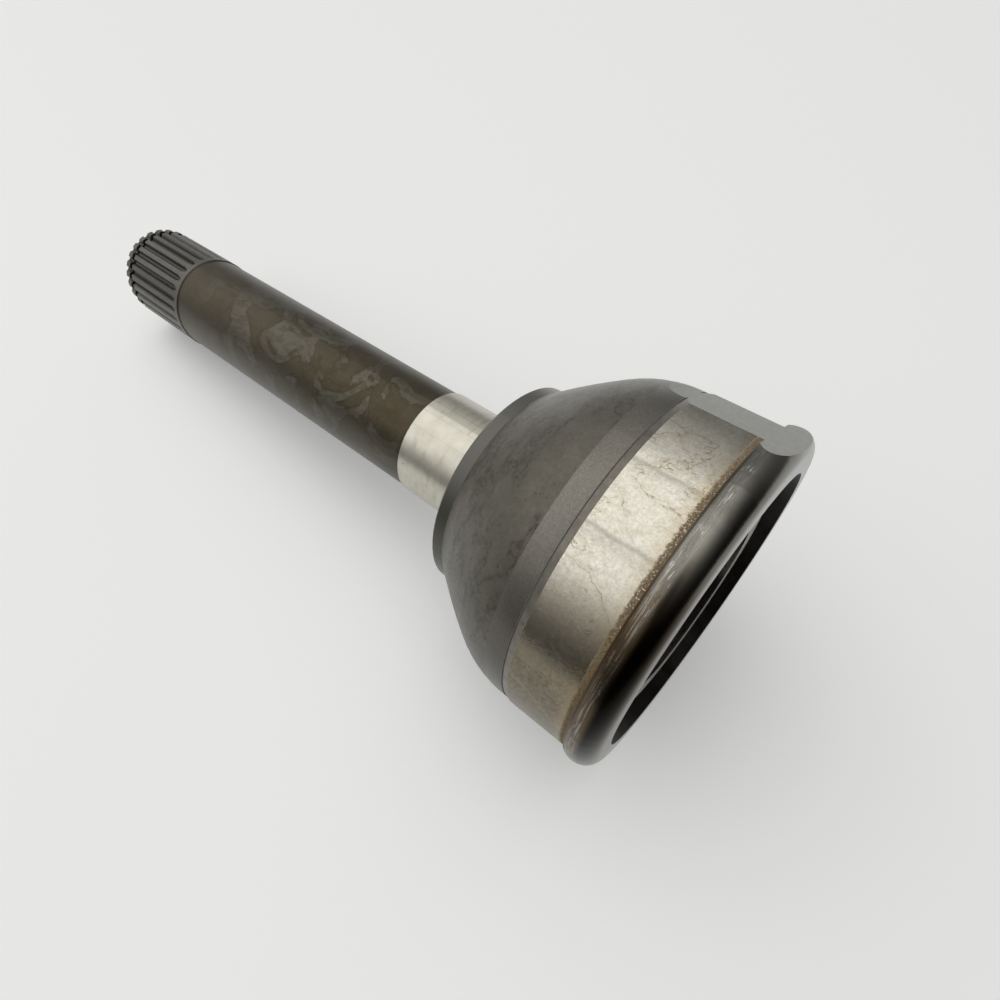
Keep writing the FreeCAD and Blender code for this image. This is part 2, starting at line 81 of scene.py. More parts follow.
LOWER_FLANK = (-0.985, -0.174)
BEAD_FLANK = (-0.92, 0.39)

Colour = tuple[float, float, float, float]
Fade = tuple[float, float, float, float]
Span = tuple[float, float]


class Tone(Enum):
    """Linear red, green and blue of every steel, oil and rust on the outer race, and of the shade,
    highlights and reflections painted on it.
    """

    OILY_SCALE = (0.066, 0.053, 0.03)
    DARK_SCALE = (0.05, 0.037, 0.016)
    SCALE_STREAK = (0.08, 0.066, 0.04)
    SCALE_SPOT = (0.036, 0.026, 0.012)
    WIPED_GREY = (0.112, 0.104, 0.084)
    WIPED_BROWN = (0.088, 0.077, 0.054)
    OIL_RIM = (0.04, 0.028, 0.012)
    GREY_SMUDGE_SHEEN = (0.105, 0.1, 0.09)
    SHAFT_SPECK = (0.03, 0.022, 0.012)
    LAND_DARK = (0.096, 0.09, 0.079)
    LAND_LIGHT = (0.134, 0.127, 0.114)
    LAND_STREAK = (0.07, 0.064, 0.055)
    TOOTH_ROOT_SHADE = (0.05, 0.044, 0.036)
    PLAIN_RING = (0.112, 0.1, 0.078)
    SPLINE_STEP = (0.04, 0.032, 0.02)
    END_FACE = (0.26, 0.25, 0.23)
    SEAT_WARM = (0.5, 0.475, 0.4)
    SEAT_BRIGHT = (0.62, 0.595, 0.52)
    SEAT_STAIN = (0.42, 0.38, 0.29)
    SEAT_LAMP_REFLECTION = (0.2, 0.18, 0.15)
    SEAT_RING = (0.3, 0.27, 0.22)
    SEAT_PIT = (0.06, 0.045, 0.03)
    DOME_DARK = (0.098, 0.087, 0.066)
    DOME_LIGHT = (0.146, 0.134, 0.106)
    DOME_BLOTCH = (0.074, 0.063, 0.044)
    DOME_GRAIN = (0.066, 0.057, 0.041)
    DOME_GRIT = (0.04, 0.032, 0.02)
    TIDE_LINE = (0.03, 0.023, 0.014)
    TIDE_SMEAR = (0.036, 0.028, 0.017)
    TIDE_HALO = (0.062, 0.052, 0.034)
    COLLAR_WORN = (0.112, 0.106, 0.092)
    COLLAR_SHADE = (0.062, 0.061, 0.049)
    COLLAR_LIP = (0.06, 0.053, 0.043)
    TURNED_LOW = (0.125, 0.114, 0.096)
    TURNED_CREST = (0.245, 0.23, 0.205)
    TURNED_STAIN = (0.13, 0.118, 0.096)
    TURNED_SHADE = (0.072, 0.064, 0.053)
    BRIGHT_SPECK = (0.5, 0.49, 0.46)
    RELIEF_DARK = (0.14, 0.126, 0.104)
    RELIEF_LIGHT = (0.205, 0.19, 0.162)
    RELIEF_SPECK = (0.05, 0.04, 0.03)
    RELIEF_EDGE = (0.16, 0.146, 0.122)
    BAND_DARK = (0.47, 0.44, 0.365)
    BAND_BRIGHT = (0.73, 0.705, 0.635)
    BAND_PATCH = (0.46, 0.41, 0.32)
    BAND_TINT = (0.4, 0.325, 0.215)
    BAND_SHADE_DARK = (0.108, 0.088, 0.06)
    BAND_SHADE_LIGHT = (0.205, 0.176, 0.13)
    BAND_LAMP_REFLECTION = (0.22, 0.205, 0.17)
    BAND_MARK = (0.21, 0.155, 0.095)
    BAND_HALO = (0.38, 0.325, 0.225)
    BAND_STAIN = (0.4, 0.315, 0.19)
    RUST_DARK = (0.1, 0.058, 0.022)
    RUST_LIGHT = (0.235, 0.15, 0.058)
    SHOULDER = (0.11, 0.07, 0.03)
    BEAD_DARK = (0.175, 0.163, 0.138)
    BEAD_LIGHT = (0.235, 0.225, 0.2)
    BEAD_AMBER = (0.095, 0.052, 0.015)
    BEAD_BROWN = (0.08, 0.058, 0.032)
    BEAD_SLOPE_SHADE = (0.09, 0.082, 0.07)
    BEAD_DEEP_SHADE = (0.006, 0.004, 0.002)
    MOUTH_HIGHLIGHT = (0.4, 0.4, 0.39)
    BEAD_FLECK = (0.15, 0.085, 0.03)
    BEAD_SCRATCH_GLINT = (0.8, 0.8, 0.77)
    BEAD_RUBBED = (0.42, 0.41, 0.385)
    BEAD_GROOVE = (0.055, 0.036, 0.018)
    CAVITY_DARK = (0.008, 0.007, 0.006)
    CAVITY_LIGHT = (0.022, 0.02, 0.018)
    FLAT_DARK = (0.39, 0.39, 0.37)
    FLAT_LIGHT = (0.49, 0.49, 0.47)
    FLAT_PATCH = (0.35, 0.35, 0.33)
    FLAT_MARK = (0.16, 0.155, 0.14)


Socket = bpy.types.NodeSocket
Term = Union[float, Sequence[float], Tone, Socket]
Masks = Union[Term, tuple[Term, ...]]


def paint(red: int, green: int, blue: int) -> Colour:
    """Turn a paint-chart colour into the linear colour that shaders use.

    Args:
        red: Red, from 0 to 255.
        green: Green, from 0 to 255.
        blue: Blue, from 0 to 255.

    Returns:
        The linear colour with full alpha.
    """
    def linear(level: int) -> float:
        share = level / 255
        return share / 12.92 if share <= 0.04045 else ((share + 0.055) / 1.055) ** 2.4
    return (linear(red), linear(green), linear(blue), 1.0)


@dataclass(frozen=True)
class JointAxis:
    """Where the joint lies: its centre and the lean of the stub axle."""

    centre: Vector
    lean: float

    @classmethod
    def from_record(cls, record: dict) -> "JointAxis":
        """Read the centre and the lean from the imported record.

        Args:
            record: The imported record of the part.

        Returns:
            The axis of the joint at rest.
        """
        bend = next(j for j in record["behaviour"]["joints"] if j["name"] == "bend")
        axis = next(m for m in record["mounts"] if m["name"] == "inner_spline")["axis"]
        return cls(Vector(bend["pos_m"]), math.atan2(axis[2], axis[0]))


class Wiring:
    """Adds nodes to one tree and joins them."""

    def __init__(self, tree: bpy.types.NodeTree) -> None:
        """Keep the tree that the nodes go into."""
        self.tree = tree

    def node(self, kind: str, **settings: object) -> bpy.types.Node:
        """Add a node and set its properties."""
        made = self.tree.nodes.new(kind)
        for name, value in settings.items():
            setattr(made, name, value)
        return made

    def feed(self, socket: Socket, term: Term) -> None:
        """Link a term into a socket, or set it there when it is a constant."""
        if isinstance(term, Tone):
            term = (*term.value, 1.0)
        if isinstance(term, Socket):
            self.tree.links.new(term, socket)
        elif isinstance(term, (int, float)) and hasattr(socket.default_value, "__len__"):
            socket.default_value = [term] * len(socket.default_value)
        else:
            socket.default_value = term

    def math(self, operation: str, *terms: Term) -> Socket:
        """Add a math node and return its result."""
        made = self.node("ShaderNodeMath", operation=operation)
        for socket, term in zip(made.inputs, terms):
            self.feed(socket, term)
        return made.outputs[0]

    def vector(self, operation: str, *terms: Term) -> Socket:
        """Add a vector math node and return its vector or, for a length or dot, its value."""
        made = self.node("ShaderNodeVectorMath", operation=operation)
        for socket, term in zip(made.inputs, terms):
            self.feed(socket, term)
        return made.outputs[1 if operation in ("LENGTH", "DOT_PRODUCT") else 0]

    def combine(self, x: Term, y: Term, z: Term) -> Socket:
        """Make a vector of three values."""
        made = self.node("ShaderNodeCombineXYZ")
        for socket, term in zip(made.inputs, (x, y, z)):
            self.feed(socket, term)
        return made.outputs[0]

    def step(self, value: Term, low: Term, high: Term,
             start: Term = 0.0, stop: Term = 1.0) -> Socket:
        """Turn a value smoothly from start at low to stop at high."""
        made = self.node("ShaderNodeMapRange", interpolation_type="SMOOTHSTEP")
        for socket, term in zip(made.inputs, (value, low, high, start, stop)):
            self.feed(socket, term)
        return made.outputs[0]

    def mix(self, share: Term, first: Term, second: Term) -> Socket:
        """Blend two colours by a share from 0 to 1."""
        made = self.node("ShaderNodeMix", data_type="RGBA")
        for name, term in (("Factor_Float", share), ("A_Color", first), ("B_Color", second)):
            self.feed(next(s for s in made.inputs if s.identifier == name), term)
        return next(s for s in made.outputs if s.identifier == "Result_Color")

    def blend(self, share: Term, first: Term, second: Term) -> Socket:
        """Blend two values by a share from 0 to 1."""
        made = self.node("ShaderNodeMix", data_type="FLOAT")
        for name, term in (("Factor_Float", share), ("A_Float", first), ("B_Float", second)):
            self.feed(next(s for s in made.inputs if s.identifier == name), term)
        return next(s for s in made.outputs if s.identifier == "Result_Float")

    def noise(self, place: Term, scale: Term, detail: float = 3.0, rough: float = 0.55,
              warp: Term = 0.0) -> Socket:
        """Add a noise texture and return its value."""
        made = self.node("ShaderNodeTexNoise")
        for name, term in (("Vector", place), ("Scale", scale), ("Detail", detail),
                           ("Roughness", rough), ("Distortion", warp)):
            self.feed(made.inputs[name], term)
        return made.outputs[0]

    def use(self, group: bpy.types.NodeTree, **inputs: Term) -> bpy.types.Node:
        """Place a node group and feed its named inputs."""
        made = self.node("ShaderNodeGroup", node_tree=group)
        for name, term in inputs.items():
            self.feed(made.inputs[name], term)
        return made


class Workshop:
    """The shared effects, each a node group that is built once."""

    def __init__(self, axis: JointAxis) -> None:
        """Build every group for a joint that lies at the given axis."""
        self.axis = axis
        self.station = self._station()
        self.span = self._span()
        self.tide = self._tide()
        self.specks = self._specks()
        self.rings = self._rings()
        self.brushed = self._brushed()
        self.mottle = self._mottle()

    @staticmethod
    def _open(name: str, inputs: dict[str, Union[float, str]],
              outputs: dict[str, str]) -> tuple[Wiring, bpy.types.Node, bpy.types.Node]:
        """Start a group with named sockets.

        Args:
            name: The name of the group.
            inputs: Each input's name with its starting value, or "vector" for a vector.
            outputs: Each output's name with its kind, "Float" or "Vector".

        Returns:
            The wiring of the group, its input node and its output node.
        """
        tree = bpy.data.node_groups.new(name, "ShaderNodeTree")
        for label, start in inputs.items():
            kind = "NodeSocketVector" if start == "vector" else "NodeSocketFloat"
            socket = tree.interface.new_socket(name=label, in_out="INPUT", socket_type=kind)
            if start != "vector":
                socket.default_value = start
        for label, kind in outputs.items():
            tree.interface.new_socket(name=label, in_out="OUTPUT",
                                      socket_type="NodeSocket" + kind)
        wiring = Wiring(tree)
        return wiring, wiring.node("NodeGroupInput"), wiring.node("NodeGroupOutput")

    def _station(self) -> bpy.types.NodeTree:
        """Measure a point along the axle, away from it and around it, in mm."""
        wiring, _, out = self._open("joint_station", {}, {
            "Along": "Float", "Radius": "Float", "Place": "Vector", "Around": "Vector"})
        place = wiring.node("ShaderNodeTexCoord").outputs["Object"]
        turned = wiring.node("ShaderNodeMapping", vector_type="TEXTURE")
        turned.inputs["Location"].default_value = self.axis.centre
        turned.inputs["Rotation"].default_value = (0.0, -self.axis.lean, 0.0)
        wiring.feed(turned.inputs["Vector"], place)
        scaled = wiring.vector("SCALE", turned.outputs[0])
        scaled.node.inputs["Scale"].default_value = 1 / MM
        split = wiring.node("ShaderNodeSeparateXYZ")
        wiring.feed(split.inputs[0], scaled)
        along, side, height = split.outputs
        across = wiring.combine(0.0, side, height)
        wiring.feed(out.inputs["Along"], along)
        wiring.feed(out.inputs["Radius"], wiring.vector("LENGTH", across))
        wiring.feed(out.inputs["Place"], scaled)
        wiring.feed(out.inputs["Around"], wiring.vector("NORMALIZE", across))
        return wiring.tree

    def _span(self) -> bpy.types.NodeTree:
        """Mask the stretch of a value between two ends, with soft edges."""
        wiring, given, out = self._open(
            "span", {"Value": 0.0, "Start": 0.0, "Stop": 1.0, "Blur": 0.1}, {"Mask": "Float"})
        value, start, stop, blur = given.outputs[:4]
        rise = wiring.step(value, wiring.math("SUBTRACT", start, blur),
                           wiring.math("ADD", start, blur))
        fall = wiring.step(value, wiring.math("SUBTRACT", stop, blur),
                           wiring.math("ADD", stop, blur), 1.0, 0.0)
        wiring.feed(out.inputs["Mask"], wiring.math("MULTIPLY", rise, fall))
        return wiring.tree

    def _tide(self) -> bpy.types.NodeTree:
        """Thin, broken outlines that an oil film leaves where it dries."""
        wiring, given, out = self._open(
            "tide_marks", {"Place": "vector", "Size": 20.0, "Width": 0.01, "Level": 0.5,
                           "Broken": 0.5, "Warp": 0.6}, {"Mask": "Float"})
        place, size, width, level, broken, warp = given.outputs[:6]
        field_ = wiring.noise(place, wiring.math("DIVIDE", 1.0, size), 5.0, 0.62, warp)
        off = wiring.math("ABSOLUTE", wiring.math("SUBTRACT", field_, level))
        line = wiring.step(off, 0.0, width, 1.0, 0.0)
        kept = wiring.noise(place, wiring.math("DIVIDE", 2.4, size), 2.0)
        kept = wiring.step(kept, wiring.math("SUBTRACT", broken, 0.06),
                           wiring.math("ADD", broken, 0.06))
        wiring.feed(out.inputs["Mask"], wiring.math("MULTIPLY", line, kept))
        return wiring.tree

    def _specks(self) -> bpy.types.NodeTree:
        """Scattered pits and specks, a share of them showing."""
        wiring, given, out = self._open(
            "specks", {"Place": "vector", "Size": 2.0, "Share": 0.2, "Spread": 0.25},
            {"Mask": "Float"})
        place, size, share, spread = given.outputs[:4]
        cells = wiring.node("ShaderNodeTexVoronoi")
        wiring.feed(cells.inputs["Vector"], place)
        wiring.feed(cells.inputs["Scale"], wiring.math("DIVIDE", 1.0, size))
        split = wiring.node("ShaderNodeSeparateColor")
        wiring.feed(split.inputs[0], cells.outputs["Color"])
        shown = wiring.math("LESS_THAN", split.outputs[0], share)
        reach = wiring.math("MULTIPLY", spread, wiring.math("ADD", split.outputs[1], 0.3))
        dot = wiring.step(cells.outputs["Distance"], wiring.math("MULTIPLY", reach, 0.5), reach,
                          1.0, 0.0)
        wiring.feed(out.inputs["Mask"], wiring.math("MULTIPLY", dot, shown))
        return wiring.tree

    def _rings(self) -> bpy.types.NodeTree:
        """Fine grooves of a turning tool, around the axle."""
        wiring, given, out = self._open(
            "turned_rings", {"Along": 0.0, "Pitch": 0.5, "Uneven": 0.3}, {"Height": "Float"})
        along, pitch, uneven = given.outputs[:3]
        turns = wiring.math("DIVIDE", along, pitch)
        wave = wiring.math("SINE", wiring.math("MULTIPLY", turns, math.tau))
        wave = wiring.math("MULTIPLY_ADD", wave, 0.5, 0.5)
        own = wiring.node("ShaderNodeTexNoise", noise_dimensions="1D")
        wiring.feed(own.inputs["W"], turns)
        own.inputs["Scale"].default_value = 0.37
        own.inputs["Detail"].default_value = 4.0
        wiring.feed(out.inputs["Height"], wiring.blend(uneven, wave, own.outputs[0]))
        return wiring.tree

    def _brushed(self) -> bpy.types.NodeTree:
        """Hairline marks, fine across their own direction and long with it."""
        wiring, given, out = self._open(
            "hairlines", {"Along": 0.0, "Around": "vector", "Fine": 8.0, "Long": 2.0,
                          "Detail": 3.0}, {"Value": "Float"})
        along, around, fine, long_, detail = given.outputs[:5]
        lap = wiring.vector("SCALE", around)
        wiring.feed(lap.node.inputs["Scale"], long_)
        place = wiring.vector("ADD", lap, wiring.combine(
            wiring.math("MULTIPLY", along, fine), 0.0, 0.0))
        wiring.feed(out.inputs["Value"], wiring.noise(place, 1.0, detail, 0.65))
        return wiring.tree

    def _mottle(self) -> bpy.types.NodeTree:
        """Soft patches of one size, with more or less contrast."""
        wiring, given, out = self._open(
            "mottle", {"Place": "vector", "Size": 5.0, "Contrast": 1.0, "Warp": 0.3},
            {"Value": "Float"})
        place, size, contrast, warp = given.outputs[:4]
        value = wiring.noise(place, wiring.math("DIVIDE", 1.0, size), 4.0, 0.6, warp)
        half = wiring.math("DIVIDE", 0.28, contrast)
        wiring.feed(out.inputs["Value"], wiring.step(
            value, wiring.math("SUBTRACT", 0.5, half), wiring.math("ADD", 0.5, half)))
        return wiring.tree


class Coat(Wiring):
    """A material that is built up in layers, each laid over the last through a mask."""

    def __init__(self, name: str, shop: Workshop, colour: Colour, rough: float,
                 metal: float) -> None:
        """Start a material with an even ground coat.

        Args:
            name: The name of the material.
            shop: The shared effects.
            colour: Linear colour of the ground coat.
            rough: Roughness of the ground coat.
            metal: Share of bare metal in the ground coat.
        """
        self.material = bpy.data.materials.new(name)
        self.material.use_nodes = True
        super().__init__(self.material.node_tree)
        self.tree.nodes.clear()
        self.shop = shop
        station = self.use(shop.station)
        self.along, self.radius, self.place, self.around = station.outputs[:4]
        self.colour: Term = colour
        self.rough: Term = rough
        self.metal: Term = metal
        self.height: Term = 0.0
        self.film: Term = 0.0

    def stretch(self, start: float, stop: float, blur: float = 0.1) -> Term:
        """Mask a stretch of the axle, from start to stop in mm."""
        return self.use(self.shop.span, Value=self.along, Start=start, Stop=stop,
                               Blur=blur).outputs[0]

    def _moved(self, shift: float) -> Term:
        """Return where a point is, moved by a shift in mm so that patterns differ."""
        return self.vector("ADD", self.place, (shift, shift * 0.7, -shift))

    def mottle(self, size: float, contrast: float = 1.0, warp: float = 0.3,
               shift: float = 0.0) -> Term:
        """Return soft patches of the given size in mm."""
        return self.use(self.shop.mottle, Place=self._moved(shift), Size=size,
                               Contrast=contrast, Warp=warp).outputs[0]

    def tide(self, size: float, width: float, level: float = 0.5, broken: float = 0.5,
             warp: float = 0.6, shift: float = 0.0, squeeze: float = 1.0) -> Term:
        """Return thin broken outlines of an oil film, squeezed along the axle."""
        place = self.vector("ADD", self.place, (shift, -shift, shift * 0.6))
        if squeeze != 1.0:
            place = self.vector("MULTIPLY", place, (squeeze, 1.0, 1.0))
        return self.use(self.shop.tide, Place=place, Size=size, Width=width,
                               Level=level, Broken=broken, Warp=warp).outputs[0]

    def specks(self, size: float, share: float, spread: float = 0.25) -> Term:
        """Return scattered specks."""
        return self.use(self.shop.specks, Place=self.place, Size=size, Share=share,
                               Spread=spread).outputs[0]

    def rings(self, pitch: float, uneven: float = 0.3) -> Term:
        """Return the height of turned grooves."""
        return self.use(self.shop.rings, Along=self.along, Pitch=pitch,
                               Uneven=uneven).outputs[0]

    def hairlines(self, fine: float, long: float, detail: float = 3.0) -> Term:
        """Return hairline marks."""
        return self.use(self.shop.brushed, Along=self.along, Around=self.around,
                               Fine=fine, Long=long, Detail=detail).outputs[0]

    def cloud(self, size: float, detail: float, rough: float, warp: float,
              shift: float) -> Term:
        """Return plain noise with features of the given size in mm."""
        return self.noise(self._moved(shift), 1 / size, detail, rough, warp)

    def streaks(self, across: float, along: float) -> Term:
        """Return soft streaks, sized in mm around the axle and along it."""
        split = self.node("ShaderNodeSeparateXYZ")
        self.feed(split.inputs[0], self.place)
        place = self.combine(
            self.math("DIVIDE", split.outputs[0], along * 3.0),
            self.math("DIVIDE", split.outputs[1], across),
            self.math("DIVIDE", split.outputs[2], across))
        return self.step(self.noise(place, 1.0, 4.0, 0.6, 0.8), 0.35, 0.65)

    def side(self, y: float, z: float) -> Term:
        """Return how squarely a point faces one way around the axle, from -1 to 1."""
        return self.vector("DOT_PRODUCT", self.around, (0.0, y, z))

    def axial_line(self, turn: float, width: float) -> Term:
        """Mask a thin line along the axle, turned from the top by an angle in radians."""
        across = self.side(-math.cos(turn), -math.sin(turn))
        waver = self.mottle(size=6.0, warp=0.0, shift=1.0)
        shaky = self.math("MULTIPLY_ADD", waver, 0.012, across)
        found = self.step(self.math("ABSOLUTE", shaky), 0.0, width, start=1.0, stop=0.0)
        top = self.above(self.side(0.0, 1.0), -0.05, 0.3)
        return self.times(found, top)

    def ground(self, pitch: float) -> Term:
        """Return the height of irregular grinding marks around the axle."""
        return self.hairlines(1.0 / pitch, 5.0, 2.0)

    def times(self, *masks: Term) -> Term:
        """Multiply masks together."""
        found = masks[0]
        for mask in masks[1:]:
            found = self.math("MULTIPLY", found, mask)
        return found

    def above(self, value: Term, low: float, high: float) -> Term:
        """Mask where a value passes a level."""
        return self.step(value, low, high)

    def lay(self, mask: Masks, colour: Optional[Term] = None, rough: Optional[Term] = None,
            metal: Optional[Term] = None, height: Optional[Term] = None,
            film: Optional[Term] = None) -> None:
        """Lay a layer over the ones below.

        Args:
            mask: Where the layer shows, from 0 to 1, or several masks to multiply.
            colour: Its colour, if it changes the colour.
            rough: Its roughness, if it changes the roughness.
            metal: Its share of bare metal, if it changes that.
            height: Its height in mm, if it replaces the height.
            film: Its share of clear oil film, if it changes that.
        """
        if isinstance(mask, tuple):
            mask = self.times(*mask)
        if colour is not None:
            self.colour = self.mix(mask, self.colour, colour)
        if rough is not None:
            self.rough = self.blend(mask, self.rough, rough)
        if metal is not None:
            self.metal = self.blend(mask, self.metal, metal)
        if height is not None:
            self.height = self.blend(mask, self.height, height)
        if film is not None:
            self.film = self.blend(mask, self.film, film)

    def raise_by(self, mask: Masks, amount: float) -> None:
        """Add a height in mm where a mask, or the product of several, shows."""
        if isinstance(mask, tuple):
            mask = self.times(*mask)
        self.height = self.math("MULTIPLY_ADD", mask, amount, self.height)

    def finish(self) -> bpy.types.Material:
        """Join the layers to a shader and return the finished material."""
        shader = self.node("ShaderNodeBsdfPrincipled")
        for name, term in (("Base Color", self.colour), ("Roughness", self.rough),
                           ("Metallic", self.metal), ("Coat Weight", self.film)):
            self.feed(shader.inputs[name], term)
        shader.inputs["Coat Roughness"].default_value = FILM_ROUGH
        if isinstance(self.height, Socket):
            bump = self.node("ShaderNodeBump")
            bump.inputs["Strength"].default_value = 1.0
            bump.inputs["Distance"].default_value = MM
            self.feed(bump.inputs["Height"], self.height)
            self.feed(shader.inputs["Normal"], bump.outputs[0])
        out = self.node("ShaderNodeOutputMaterial")
        self.feed(out.inputs[0], shader.outputs[0])
        return self.material


@dataclass(frozen=True)
class ForgingFinish:
    """Oiled and ground steel of the outer race, zone by zone along the stub axle, in mm."""

    stub_end: float = -287.5
    groove_end: float = -242.6
    spline_end: float = -240.1
    journal_start: float = -91.24
    collar_rear: float = -55.74
    collar_front: float = -50.68
    turned_start: float = -15.3
    relief_start: float = -8.0
    band_start: float = -5.5
    band_end: float = 16.0
    bead_crest: float = 19.5
    mouth: float = 26.0
    band_inner: float = 57.9
    flat_normal: tuple[float, float, float] = (0.0, 0.52992, 0.84805)
    flat_distance: float = 58.0625
    inner_r: float = 49.9
    bare_start: float = -212.0
    root_span: Span = (20.7, 19.5)
    scribed_ring: Span = (-72.6, -72.3)
    shoulder_span: Span = (57.0, 57.4)
    cavity_start: float = -47.5
    cavity_slope: float = 0.55
    cavity_base: float = 59.6
    flat_fade: Fade = (-22.0, -6.0, 0.3, 1.0)
    # Turn from the top and depth of each painted lamp-edge reflection on the seat.
    seat_reflections: tuple[Span, ...] = ((-0.16, 0.5), (0.10, 0.34), (0.42, 0.24))

    def material(self, shop: Workshop) -> bpy.types.Material:
        """Build the whole finish.

        Args:
            shop: The shared effects.

        Returns:
            The material of the outer race.
        """
        coat = Coat("forged_steel_finish", shop, Tone.OILY_SCALE, rough=0.4, metal=0.85)
        self._shaft(coat)
        self._spline(coat)
        self._journal(coat)
        self._collar_and_dome(coat)
        self._turned_zone(coat)
        self._band(coat)
        self._bead(coat)
        self._inside(coat)
        self._flats(coat)
        return coat.finish()

    def _shaft(self, coat: Coat) -> None:
        """Dark oiled scale, wiped greyer in broad soft patches, with grey smudges and a painted
        sheen along the lower near side.
        """
        coat.lay(coat.mottle(size=34.0, contrast=1.3, warp=1.0), Tone.DARK_SCALE, rough=0.38)
        coat.lay(1.0, film=0.18)
        coat.lay((coat.streaks(across=7.0, along=5.0), 0.55), Tone.SCALE_STREAK)
        coat.lay((coat.mottle(size=1.6, contrast=1.2, warp=0.5, shift=3.0), 0.35), Tone.SCALE_SPOT)
        bare = coat.stretch(self.bare_start, self.journal_start, blur=30.0)
        field_ = coat.cloud(size=21.0, detail=3.0, rough=0.5, warp=1.3, shift=31.0)
        edge = coat.cloud(size=2.4, detail=5.0, rough=0.72, warp=0.6, shift=5.0)
        field_ = coat.math("MULTIPLY_ADD", edge, 0.15, field_)
        patch = coat.times(coat.above(field_, low=0.615, high=0.675), bare)
        inner = coat.above(field_, low=0.63, high=0.82)
        grey = coat.mix(inner, Tone.WIPED_GREY, Tone.WIPED_BROWN)
        rim = coat.math("ABSOLUTE", coat.math("SUBTRACT", field_, 0.602))
        rim = coat.times(coat.above(rim, low=0.026, high=0.0), bare)
        coat.lay((rim, 0.75), Tone.OIL_RIM, rough=0.36)
        wisp = coat.above(coat.streaks(across=3.0, along=3.0), low=0.3, high=0.62)
        coat.lay((patch, coat.blend(wisp, 0.35, 0.85)), grey, rough=0.42)
        # Grey smudges with a painted sheen on the lower near side, where the bright bench would be
        # mirrored at a grazing angle.
        smudge_sheen = coat.times(coat.above(coat.side(-0.95, -0.3), low=0.35, high=0.9),
                          coat.mottle(size=12.0, contrast=0.8, warp=0.5, shift=3.0))
        coat.lay((smudge_sheen, 0.5), Tone.GREY_SMUDGE_SHEEN, rough=0.44)
        coat.lay(coat.specks(size=4.0, share=0.07, spread=0.1), Tone.SHAFT_SPECK)
        coat.raise_by(coat.mottle(size=2.4, contrast=0.8), amount=0.01)

    def _spline(self, coat: Coat) -> None:
        """Charcoal teeth with painted shade at the bottoms of the grooves, worn lands and a turned
        ring behind them.
        """
        zone = coat.stretch(self.stub_end - 5, self.spline_end, blur=0.12)
        fine = coat.mottle(size=1.4)
        streak = coat.streaks(across=2.0, along=14.0)
        lands = coat.mix(fine, Tone.LAND_DARK, Tone.LAND_LIGHT)
        lands = coat.mix(coat.times(streak, 0.5), lands, Tone.LAND_STREAK)
        coat.lay(zone, lands, rough=0.42, metal=0.6)
        # Painted shade: the teeth are darkened below the root radius.
        roots = coat.times(zone, coat.above(coat.radius, *self.root_span))
        coat.lay(roots, Tone.TOOTH_ROOT_SHADE, rough=0.5)
        ring = coat.stretch(self.groove_end, self.spline_end, blur=0.2)
        coat.lay(ring, Tone.PLAIN_RING, rough=0.4)
        step = coat.stretch(self.spline_end - 0.5, self.spline_end + 0.15, blur=0.15)
        coat.lay((step, 0.35), Tone.SPLINE_STEP)
        end_face = coat.stretch(self.stub_end - 5, self.stub_end + 0.05, blur=0.01)
        coat.lay(end_face, Tone.END_FACE, rough=0.38, metal=0.9)

    def _journal(self, coat: Coat) -> None:
        """Bright ground seat with fine grinding marks, painted reflections of lamp edges as thin
        axial lines, and pits.
        """
        zone = coat.stretch(self.journal_start, self.collar_rear + 0.02, blur=0.02)
        warm = coat.mix(coat.mottle(size=5.0, contrast=0.8), Tone.SEAT_WARM, Tone.SEAT_BRIGHT)
        coat.lay(zone, warm, rough=0.29, metal=1.0, film=0.0)
        stain = coat.above(coat.hairlines(fine=0.35, long=2.2), low=0.55, high=0.68)
        coat.lay((zone, stain, 0.55), Tone.SEAT_STAIN, rough=0.3)
        # Painted reflections: thin dark lines along the axle where lamp edges would be mirrored in
        # the seat.
        for turn, depth in self.seat_reflections:
            coat.lay((zone, coat.axial_line(turn, width=0.01), depth), Tone.SEAT_LAMP_REFLECTION)
        ring = coat.stretch(*self.scribed_ring, blur=0.12)
        coat.lay((zone, ring, coat.mottle(size=9.0, contrast=1.5, warp=0.0, shift=2.0), 0.45),
                 Tone.SEAT_RING)
        edge = coat.stretch(self.journal_start, self.journal_start + 5.0, blur=1.2)
        pits = coat.times(coat.specks(size=3.4, share=0.22, spread=0.16), edge)
        coat.lay((zone, pits), Tone.SEAT_PIT, rough=0.6)
        coat.lay(zone, height=coat.times(coat.ground(pitch=0.55), 0.01))

